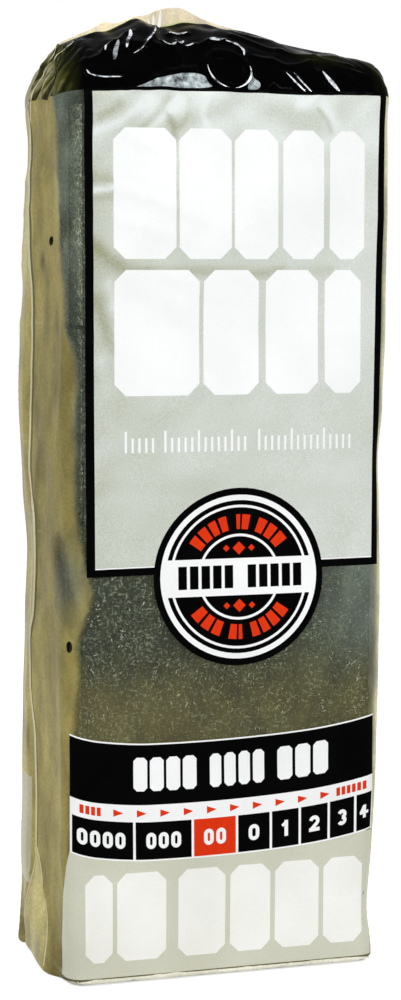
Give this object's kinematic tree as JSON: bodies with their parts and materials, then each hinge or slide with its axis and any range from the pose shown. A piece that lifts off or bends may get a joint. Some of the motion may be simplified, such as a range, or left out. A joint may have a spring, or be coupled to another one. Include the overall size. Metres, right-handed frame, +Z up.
{
  "type": "steel wool pad pack",
  "caption": "Sealed printed film bag with side gussets and a heat-sealed gable top, packed with folded steel wool pads in tiers and layers.",
  "frame": {"origin": "middle of the flat base that the pack stands on", "axes": "+Z up along the pack's height, printed front faces -Y, +X to the right as the front is read"},
  "size_m": [0.1217, 0.0716, 0.3387],
  "materials": {
    "film": "thin clear printed film, glossy, slightly hazy",
    "wool": "matted fine steel wool, oiled, dull with bright fibres"
  },
  "bodies": {
    "root": {"film_bag": "film", "pad_tier_1_layer_1": "wool", "pad_tier_1_layer_2": "wool", "pad_tier_1_layer_3": "wool", "pad_tier_1_layer_4": "wool", "pad_tier_2_layer_1": "wool", "pad_tier_2_layer_2": "wool", "pad_tier_2_layer_3": "wool", "pad_tier_2_layer_4": "wool", "pad_tier_3_layer_1": "wool", "pad_tier_3_layer_2": "wool", "pad_tier_3_layer_3": "wool", "pad_tier_3_layer_4": "wool", "pad_tier_4_layer_1": "wool", "pad_tier_4_layer_2": "wool", "pad_tier_4_layer_3": "wool", "pad_tier_4_layer_4": "wool"}
  },
  "joints": []
}
